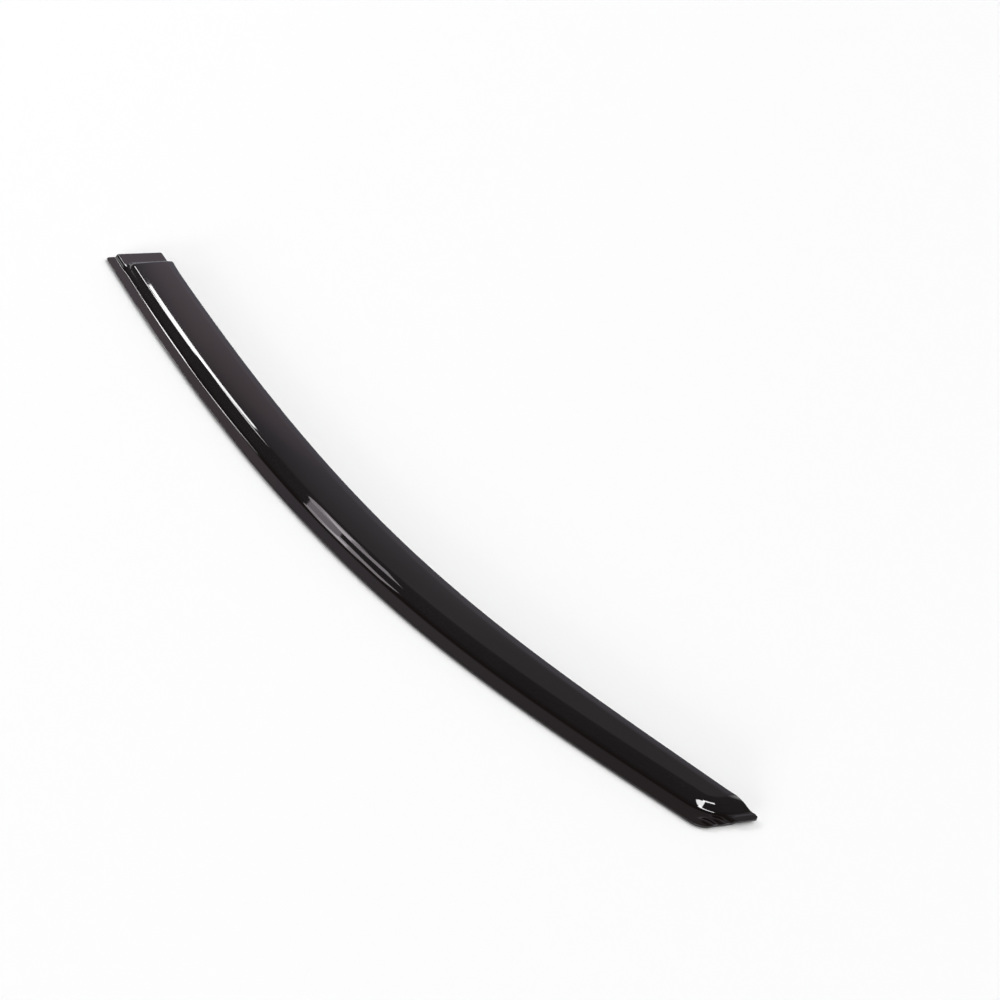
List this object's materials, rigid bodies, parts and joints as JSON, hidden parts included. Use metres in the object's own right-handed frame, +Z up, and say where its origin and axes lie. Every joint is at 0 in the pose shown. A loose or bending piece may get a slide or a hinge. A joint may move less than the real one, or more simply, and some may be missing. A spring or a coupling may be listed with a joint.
{
  "type": "window rain deflector",
  "caption": "Long curved strip of smoked acrylic for a car's left front window: flat taping flange, raised body open along its inner edge, stepped rear tab and fluted pointed front lip.",
  "frame": {"origin": "on the surface it lies on, under the middle of the part's outline", "axes": "+X from the rear end to the pointed front end, +Y from the flange to the free edge, +Z up out of the outer face"},
  "size_m": [0.9187, 0.1013, 0.013],
  "materials": {
    "smoked_acrylic": "polished smoke-brown acrylic sheet, nearly black, high gloss on both faces"
  },
  "bodies": {
    "root": {"deflector": "smoked_acrylic"}
  },
  "joints": []
}
